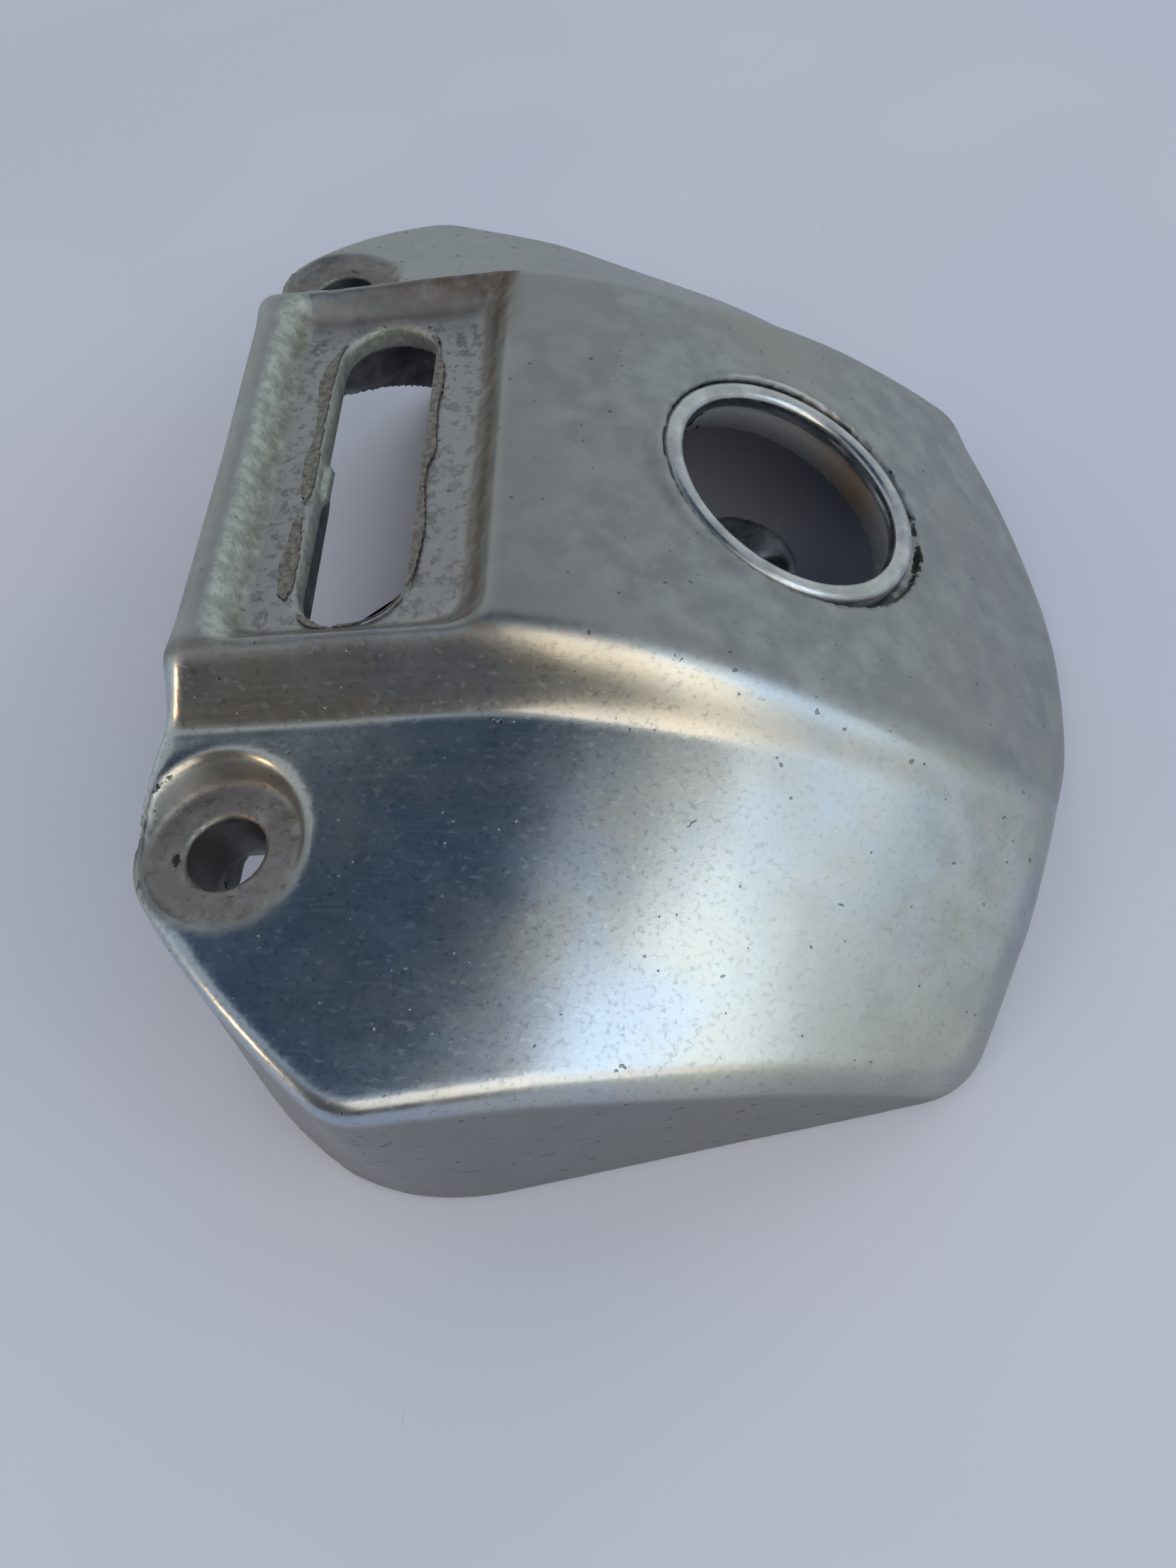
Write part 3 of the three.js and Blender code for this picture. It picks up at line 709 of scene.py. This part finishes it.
def bright_ring():
    made, n = material("turned_ring")
    paint, dirt_shade_and_glints, wall = n.weight("paint"), n.weight("dirt_shade_and_glints"), n.weight("wall")
    tone = n.mix(n.ramp(n.noise(4, 4), 0.36, 0.66), RING_DARK, RING_LIGHT)
    # Painted warm reflection: an orange tint mixed into one side of the inner wall.
    tone = n.mix(wall, tone, n.mix(n.times(n.weight("warm"), 0.7), RING_WALL, RING_WALL_WARM_REFLECTION))
    dirt_shade_and_glint_mix = n.times(dirt_shade_and_glints, n.ramp(n.noise(1.6, 4, 0.6), 0.3, 0.62, 0.3, 1.0))
    flaking = n.ramp(n.noise(2.6, 5, 0.65), 0.3, 0.6, 0.2, 1.0)
    painted = n.ramp(n.times(paint, flaking), 0.4, 0.5)
    colour = n.mix(painted, n.mix(dirt_shade_and_glint_mix, tone, DIRT_SHADE_AND_GLINT_BROWN), BLACK_PAINT)
    roughness = n.between(n.ramp(n.noise(1.5, 3), 0.35, 0.7), 0.2, 0.33)
    roughness = n.between(n.larger(dirt_shade_and_glint_mix, painted), roughness, 0.6)
    metallic = n.between(n.times(wall, 0.6), 1.0, 0.0)
    metallic = n.between(painted, n.between(n.times(dirt_shade_and_glint_mix, 0.7), metallic, 0.2), 0.0)
    relief = n.bump(painted, 0.05, n.bump(n.noise(0.6, 3, 0.6), 0.01))
    n.surface(base_color=colour, metallic=metallic, roughness=roughness, normal=relief)
    return made


def torn_gasket():
    made, n = material("torn_gasket")
    crumbs = n.noise(0.8, 4, 0.65)
    colour = n.mix(n.ramp(crumbs, 0.36, 0.64), GASKET_DARK, GASKET_LIGHT)
    colour = n.mix(n.times(n.weight("edge"), 0.85), colour, GASKET_EDGE)
    roughness = n.ramp(crumbs, 0.3, 0.7, 0.7, 0.92)
    n.surface(base_color=colour, roughness=roughness, normal=n.bump(crumbs, 0.2))
    return made


def pale_table():
    made, n = material("pale_table")
    colour = n.mix(n.ramp(n.noise(140, 2), 0.4, 0.65), TABLE_COOL, TABLE_PALE)
    scuffs = n.ramp(n.noise(2.2, 2, 0.5, (1, 0.12, 1)), 0.78, 0.82, 0.0, 0.35)
    colour = n.mix(scuffs, colour, TABLE_SCUFF)
    n.surface(base_color=colour, roughness=0.45, normal=n.bump(n.noise(30, 2), 0.05))
    return made


# The pieces

def near(a, b, spread):
    """1 where a is b, falling away over the spread."""
    return np.exp(-(((a - b) / spread) ** 2))


def round_angle(a, b, spread):
    """1 at angle b, in radians, falling away either side."""
    away = np.angle(np.exp(1j * (a - b)))
    return np.exp(-((away / spread) ** 2))


def recess_edge(x, y):
    """How far a point stands outside the edge of the recess floor."""
    return np.maximum(np.maximum(RECESS["x0"] - x, x - RECESS["x1"]), y - RECESS["y"])


def measures(points):
    """Where each point of the casting is, measured from its features."""
    x, side, z = points.T
    y = np.abs(side)
    radius, height = on_bore(x, y, z)
    return SimpleNamespace(
        x=x, side=side, y=y, z=z, radius=radius, height=height,
        depth=(top_height(x, y) - z) / steepness(x, y),
        out=y - ridge_half(x),
        outline=look_up(base_table, x, y) + DRAFT * (z - BASE_Z),
        in_recess=1 - smoothstep(recess(x, y, z), 0.2, 1.0),
        ear=np.hypot(x, y - EAR_Y),
        ear_turn=np.arctan2(side + EAR_Y, x),
        bore_turn=np.arctan2(side, (x - BORE[0]) / DOWN_RIDGE[0]),
    )


def polish_and_far_wing_shade_weight(at):
    """Bright on the near wing, less towards the nose, and less on the far one as painted shade. The ridge
    and wells stay dull.
    """
    polish = smoothstep(at.out, -2.0, 1.5) * (1 - smoothstep(at.depth, 1.5, 2.8))
    # Painted shade: the far wing keeps a quarter of the polish, so it is duller and darker.
    polish = polish * smoothstep(at.ear, 9.4, 10.3) * np.where(at.side > 0, 0.25, 1.0)
    return polish * (1 - 0.6 * smoothstep(at.x, 50, 64))


def skirt_and_far_wing_shade_weight(at):
    """The skirt all round, and the far wing, which is given the skirt's darkness as painted shade."""
    skirt = smoothstep(at.outline, -0.9, -0.3) * smoothstep(at.depth, 2.0, 3.4)
    # Painted shade: the far wing is darkened like the skirt.
    painted_far_wing_shade = (at.side > 0) * smoothstep(at.out, 0, 3) * (1 - smoothstep(at.depth, 1.5, 2.8))
    return np.maximum(skirt, painted_far_wing_shade)


def inside_weight(at):
    """The hollow under the skin."""
    inside = smoothstep(at.depth, 2.4, 2.9) * (1 - smoothstep(at.outline, -2.6, -1.8))
    inside = inside * (1 - at.in_recess) * np.where(at.ear < 10.5, 0, 1)
    inside = inside * np.where((at.radius < 20) & (at.height > -4), 0, 1)
    in_slot = (slot_edge(at.x, at.y) < 0.7) & (at.z > FLOOR_Z - FLOOR_THICK + 0.3)
    return inside * np.where(in_slot, 0, 1)


def cast_wall_weight(at):
    """The recess's rear wall and the slot's edge."""
    rear_wall = at.in_recess * (1 - smoothstep(at.x, 0.8, 1.5)) * (at.z > FLOOR_Z + 0.2)
    in_slot = 0.8 * (slot_edge(at.x, at.y) < 0.45)
    slot_wall = in_slot * (at.z > FLOOR_Z - FLOOR_THICK + 0.2) * (at.z < FLOOR_Z - 0.1)
    return np.maximum(rear_wall, slot_wall)


def dirt_shade_and_glint_weight(at, in_well):
    """Dirt up the recess's front wall and in the wells, painted shade round the recess's foot, a darker ring
    at the foot of each well's wall, and painted warm reflections in brown along both rims.
    """
    x, side, z, depth = at.x, at.side, at.z, at.depth
    edge = recess_edge(x, at.y)
    # Painted shade: the corner round the recess's foot is darkened brown.
    foot = near(edge, 0.3, 0.7) * at.in_recess * (z < 11.5)
    far_front = near(x, 29.0, 1.6) * near(side, 30.0, 12) * (z > FLOOR_Z + 0.4) * (depth < 5)
    # Painted warm reflection: brown along the far rim where its edge glints.
    far_rim = near(side, 31.0, 2.0) * smoothstep(x, 2, 24) * (x < 31) * (z > FLOOR_Z + 1) * (depth < 4)
    front_wall = near(edge, 1.6, 1.1) * at.in_recess * smoothstep(x, 24, 26)
    # Painted warm reflection: brown along the near rim where its edge glints.
    near_rim = near(side, -31.3, 0.8) * (x < 32) * (depth < 2.5)
    # 0.4 * near(at.ear, 8.4, 0.7) darkens a ring at the foot of each well's wall.
    return np.maximum.reduce([
        0.6 * foot, 0.95 * far_front, 0.9 * far_rim, 0.85 * front_wall, 0.5 * near_rim,
        0.4 * near(at.ear, 8.4, 0.7), 0.45 * in_well,
    ])


def paint_weight(at):
    """What is left of black paint: on the rim of the near well, round its hole, and along the groove."""
    well = (1 - smoothstep(at.ear, 9.0, 10.5)) * (at.side < 0)
    rim = 0.66 * near(at.ear, 10.2, 0.5) * (at.side < 0) * round_angle(at.ear_turn, math.radians(140), 0.5)
    by_hole = 0.85 * near(at.ear, 5.5, 0.8) * well * round_angle(at.ear_turn, math.radians(185), 0.5)
    arc = round_angle(at.bore_turn, math.radians(-14), 0.55)
    groove = 0.85 * near(at.radius, 20.0, 0.7) * (at.height > -2.2) * arc
    return np.maximum.reduce([rim, by_hole, groove])


def casting_weights(points):
    at = measures(points)
    in_well = (at.ear < 9.0) * (1 - smoothstep(np.abs(at.z), 0.2, 0.6))
    on_floor = at.in_recess * (1 - smoothstep(at.z, FLOOR_Z + 0.15, FLOOR_Z + 0.5))
    return {
        "polish": polish_and_far_wing_shade_weight(at),
        "skirt": skirt_and_far_wing_shade_weight(at),
        "inside": inside_weight(at),
        "cast_wall": cast_wall_weight(at),
        "floor": np.maximum(on_floor, in_well),
        "dirt_shade_and_glints": dirt_shade_and_glint_weight(at, in_well),
        "paint": paint_weight(at),
    }


def make_casting():
    points, quads = net_of(casting, GRID_LOW, GRID_HIGH, GRID_STEP)
    made = piece("worn_casting", points, quads, worn_aluminium(), "casting", "cover_casting")
    paint_weights(made, casting_weights(points))


def ring_profile():
    """Radius and height round the ring's section, from its outer foot over the bead to its inner foot."""
    middle, half = (RING_R + MOUTH_R) / 2, (RING_R - MOUTH_R) / 2
    bead = []
    for t in np.linspace(0, math.pi, RING_BEAD["steps"]):
        rise = RING_BEAD["height"] * math.sin(t) ** RING_BEAD["fullness"]
        bead.append((middle + half * math.cos(t), RING_BEAD["z"] + rise))
    lip = [(MOUTH_R, -1.2), (MOUTH_R + 0.15, -1.5), (UNDERCUT_R - 0.1, -2.0), (UNDERCUT_R, -2.2)]
    return np.array([(RING_R, -BORE_DEPTH), (RING_R, -1.5)] + bead + lip + [(UNDERCUT_R, -BORE_DEPTH)])


def turned(profile, turn):
    """Points and quads of a profile turned about the bore's axis."""
    ahead = profile[:, 0] * np.cos(turn)[:, None]
    across = profile[:, 0] * np.sin(turn)[:, None]
    up = np.broadcast_to(profile[:, 1], ahead.shape)
    points = BORE + ahead[..., None] * DOWN_RIDGE + across[..., None] * [0, 1, 0] + up[..., None] * BORE_AXIS
    sides, rows = len(turn), len(profile)
    faces = []
    for i in range(sides):
        for j in range(rows):
            a, b = i * rows + j, ((i + 1) % sides) * rows + j
            c, d = ((i + 1) % sides) * rows + (j + 1) % rows, i * rows + (j + 1) % rows
            faces.append((a, b, c, d))
    return points.reshape(-1, 3), faces


def ring_weights(radius, height, angle):
    """Black paint flakes and a black band under the lip inside the mouth, a painted warm reflection on the
    wall below them, and grime in the seam round the ring.
    """
    flake = round_angle(angle, math.radians(140), 0.3) * (height < -1.2) * (radius < 17)
    # A black band round the underside of the lip.
    black_band_under_lip = near(height, -1.9, 0.4) * (radius < 16.8)
    wall = smoothstep(-height, 1.0, 2.0) * (radius < 16.8)
    seam = near(radius, RING_R, 0.35) * (height > -1.8) * (0.3 + 0.7 * round_angle(angle, 0.2, 1.0))
    return {
        "paint": np.maximum(0.9 * flake, 0.65 * black_band_under_lip),
        "wall": wall,
        # Painted warm reflection on one side of the inner wall.
        "warm": wall * round_angle(angle, math.radians(35), 0.4),
        "dirt_shade_and_glints": seam,
    }


def make_ring():
    profile = ring_profile()
    turn = np.linspace(0, 2 * math.pi, RING_SIDES, endpoint=False)
    points, faces = turned(profile, turn)
    made = piece("turned_ring", points, faces, bright_ring(), "ring", "bore_ring")
    radius, height = np.tile(profile, (RING_SIDES, 1)).T
    paint_weights(made, ring_weights(radius, height, np.repeat(turn, len(profile))))


# The torn edges of what is left of the gasket, as seen from above
GASKETS = {
    "gasket_front": [
        (18.3, 23.6), (19.6, 23.5), (19.7, 19.8), (20.8, 17.5), (21.0, 12.4), (20.7, 9.7), (20.7, 7.0),
        (21.0, 1.6), (20.9, -0.3), (20.2, -2.1), (20.1, -5.8), (20.7, -9.5), (20.9, -13.6), (20.5, -17.5),
        (20.0, -20.8), (19.3, -21.6), (18.9, -21.2), (19.4, -17.0), (19.5, -8.0), (19.5, 6.0), (19.5, 18.0),
    ],
    "gasket_near_end": [
        (18.9, -22.6), (18.6, -23.3), (17.2, -25.0), (15.6, -25.9), (14.1, -26.9), (12.5, -27.2),
        (11.4, -27.0), (13.0, -26.7), (15.4, -26.1), (17.0, -24.6), (18.3, -22.9),
    ],
    "gasket_rear_corner": [
        (7.0, -24.5), (7.6, -25.7), (8.6, -26.7), (10.5, -27.3), (11.1, -27.2), (9.7, -26.4), (8.2, -25.4),
    ],
    "gasket_rear_lower": [
        (5.4, -9.0), (4.5, -10.2), (4.4, -13.1), (3.9, -17.1), (4.4, -21.5), (5.4, -22.7), (6.1, -20.6),
        (6.1, -17.2), (6.0, -13.8), (5.6, -10.3),
    ],
    "gasket_rear_upper": [
        (5.9, 21.0), (4.6, 19.0), (4.1, 15.4), (4.6, 11.1), (5.0, 7.6), (4.9, 4.2), (4.4, 1.0), (4.5, -2.9),
        (4.9, -5.4), (5.4, -6.8), (5.9, -5.5), (6.3, -3.8), (6.1, 2.1), (5.8, 7.5), (5.9, 13.1), (6.0, 17.3),
        (6.4, 21.7), (6.9, 23.2), (6.2, 22.6),
    ],
}
GASKET_Z = (FLOOR_Z + 0.03, FLOOR_Z + 0.4)
GASKET_BEVEL = 0.25
SLOT_CLEARANCE = 0.12
SLOT_END_Y = (SLOT["length"] - SLOT["width"]) / 2  # the middle of the slot's round end
TEAR_STEP = 0.35
TEAR_DEPTH = 0.09
TEAR_SEED = 4


def torn_outline(corners, chance):
    """The outline with ragged edges, kept clear of the slot."""
    corners = np.array(corners, float)
    ahead = np.roll(corners, -1, axis=0)
    points = []
    for a, b in zip(corners, ahead):
        count = max(2, int(np.linalg.norm(b - a) / TEAR_STEP))
        points.extend(a + (b - a) * i / count for i in range(count))
    points = np.array(points)
    points += chance.normal(0, TEAR_DEPTH, points.shape)
    gap = slot_edge(points[:, 0], np.abs(points[:, 1]))
    middle = np.clip(points[:, 1], -SLOT_END_Y, SLOT_END_Y)
    away = points - np.stack([np.full(len(points), SLOT["x"]), middle], 1)
    out = away / np.linalg.norm(away, axis=1)[:, None]
    return points + out * np.maximum(SLOT_CLEARANCE - gap, 0)[:, None]


def torn_sheet(outline):
    """Points and faces of a thin sheet whose sides lean in a little towards its top."""
    n = len(outline)
    middle = (np.roll(outline, 3, 0) + np.roll(outline, -3, 0)) / 2
    inner = outline + GASKET_BEVEL * (middle - outline)
    low, high = (np.full((n, 1), z) for z in GASKET_Z)
    points = np.concatenate([np.hstack([outline, low]), np.hstack([inner, high])])
    sides = [(i, (i + 1) % n, n + (i + 1) % n, n + i) for i in range(n)]
    faces = sides + [tuple(reversed(range(n))), tuple(range(n, 2 * n))]
    ahead = np.roll(outline, -1, 0)
    area = (outline[:, 0] * ahead[:, 1] - ahead[:, 0] * outline[:, 1]).sum()
    return points, faces if area > 0 else [tuple(reversed(f)) for f in faces]


def make_gaskets():
    finish = torn_gasket()
    chance = np.random.default_rng(TEAR_SEED)
    for name, corners in GASKETS.items():
        points, faces = torn_sheet(torn_outline(corners, chance))
        made = piece("torn_" + name, points, faces, finish, "gasket", name)
        made.data.polygons.foreach_set("use_smooth", [False] * len(faces))
        paint_weights(made, {"edge": np.repeat([1.0, 0.25], len(points) // 2)})


make_casting()
make_ring()
make_gaskets()


# The table, the light and the camera

TABLE_HALF = 1.5
TABLE_Z = -0.0001
# Each light's place, the point it faces, its width and height, its colour and its radiance
LIGHTS = {
    "window": ((0.61, -0.30, 0.47), (0, -0.04, 0.03), (0.44, 0.40), (0.74, 0.88, 1.0), 0.85),
    "fill": ((0.30, -0.70, 0.52), (0, 0, 0.02), (0.60, 0.50), (1.0, 0.84, 0.66), 0.85),
    "lamp": ((-0.55, -0.42, 0.20), (0, 0, 0.02), (0.05, 0.08), (1.0, 0.56, 0.25), 16.0),
}
ROOM_LOW, ROOM_MIDDLE, ROOM_OVERHEAD = (0.40, 0.43, 0.42), (0.30, 0.32, 0.35), (0.026, 0.044, 0.072)
ROOM_WARM, ROOM_WARM_WAY = (0.066, 0.062, 0.060), (-0.20, -0.93, 0.31)
CAMERA_PLACE = (0.00461, -0.106887, 0.136791)
CAMERA_RIGHT = (0.993726, 0.010265, -0.111370)
CAMERA_UP = (0.050633, 0.846600, 0.529815)
CAMERA_BACK = (0.099725, -0.532130, 0.840769)
CAMERA_LENS = 25.23
EXPOSURE = 0.74


def make_table():
    corners = [(x * TABLE_HALF, y * TABLE_HALF, TABLE_Z) for x, y in ((-1, -1), (1, -1), (1, 1), (-1, 1))]
    mesh = bpy.data.meshes.new("table")
    mesh.from_pydata(corners, [], [(0, 1, 2, 3)])
    mesh.materials.append(pale_table())
    table = bpy.data.objects.new("table", mesh)
    bpy.context.scene.collection.objects.link(table)


def make_light(name, place, target, size, colour, radiance):
    """A soft panel that faces the target, with its brightness given as radiance."""
    width, height = size
    light = bpy.data.lights.new(name, "AREA")
    light.shape = "RECTANGLE"
    light.size, light.size_y = width, height
    light.color = colour
    light.energy = radiance * math.pi * width * height
    panel = bpy.data.objects.new(name, light)
    panel.location = place
    panel.rotation_euler = (Vector(target) - Vector(place)).to_track_quat("-Z", "Y").to_euler()
    bpy.context.scene.collection.objects.link(panel)


def make_room():
    """Pale walls, darker overhead, and a warm dark patch behind the viewer."""
    world = bpy.data.worlds.new("room")
    bpy.context.scene.world = world
    world.use_nodes = True
    n = Nodes(world.node_tree)
    way = n.add("ShaderNodeTexCoord").outputs["Generated"]
    height = n.add("ShaderNodeSeparateXYZ", {0: way}).outputs["Z"]
    colour = n.mix(n.ramp(height, 0.05, 0.75), ROOM_LOW, ROOM_MIDDLE)
    colour = n.mix(n.ramp(height, 0.83, 0.95), colour, ROOM_OVERHEAD)
    toward = n.add("ShaderNodeVectorMath", {0: way, 1: ROOM_WARM_WAY}, operation="DOT_PRODUCT")
    colour = n.mix(n.ramp(toward.outputs["Value"], 0.72, 0.95), colour, ROOM_WARM)
    background = n.add("ShaderNodeBackground", {"Color": colour, "Strength": 1.0})
    n.add("ShaderNodeOutputWorld", {"Surface": background.outputs[0]})


def make_camera():
    camera = bpy.data.cameras.new("camera")
    camera.lens = CAMERA_LENS
    camera.sensor_width = 36.0
    camera.clip_start = 0.01
    holder = bpy.data.objects.new("camera", camera)
    turn = Matrix((CAMERA_RIGHT, CAMERA_UP, CAMERA_BACK)).transposed().to_4x4()
    holder.matrix_world = Matrix.Translation(CAMERA_PLACE) @ turn
    bpy.context.scene.collection.objects.link(holder)
    bpy.context.scene.camera = holder


make_table()
make_room()
for light_name, settings in LIGHTS.items():
    make_light(light_name, *settings)
make_camera()
bpy.context.scene.view_settings.view_transform = "Standard"
bpy.context.scene.view_settings.exposure = EXPOSURE
